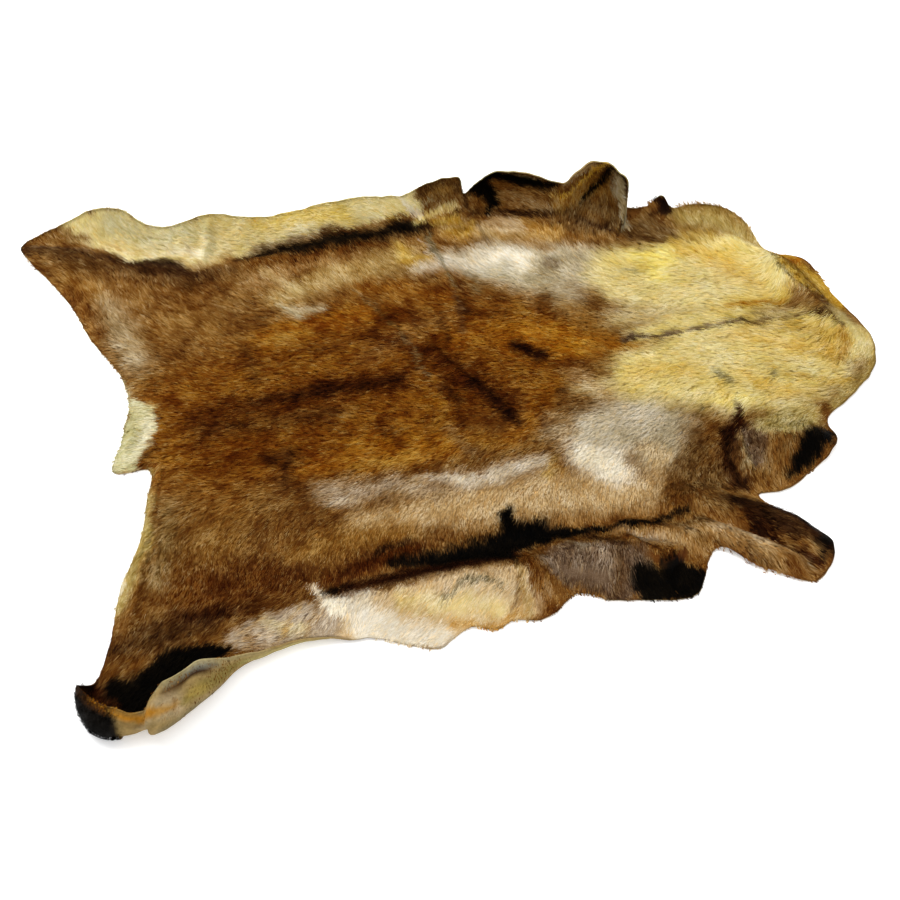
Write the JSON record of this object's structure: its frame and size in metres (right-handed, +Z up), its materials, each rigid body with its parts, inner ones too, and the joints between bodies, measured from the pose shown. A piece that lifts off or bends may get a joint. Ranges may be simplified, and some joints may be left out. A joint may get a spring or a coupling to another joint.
{
  "type": "reindeer hide",
  "caption": "Whole reindeer hide with the hair on, laid out on its flesh side as an uneven sheet with turned-up rims, leg flaps and a tail, to cover a floor, seat or bench.",
  "frame": {"origin": "under the middle of the hide's box, on the plane that it lies on", "axes": "+X along the spine from the rump to the neck, +Y to the side that is far from the camera in the picture, +Z up, out of the hair"},
  "size_m": [1.3868, 1.073, 0.1363],
  "materials": {
    "fur": "short lying reindeer hair, russet brown on the back, straw yellow at the neck, pale at the belly and near black along the flanks and on the legs, on matt tanned skin of a yellow grey green"
  },
  "bodies": {
    "root": {"hide": "fur"}
  },
  "joints": []
}
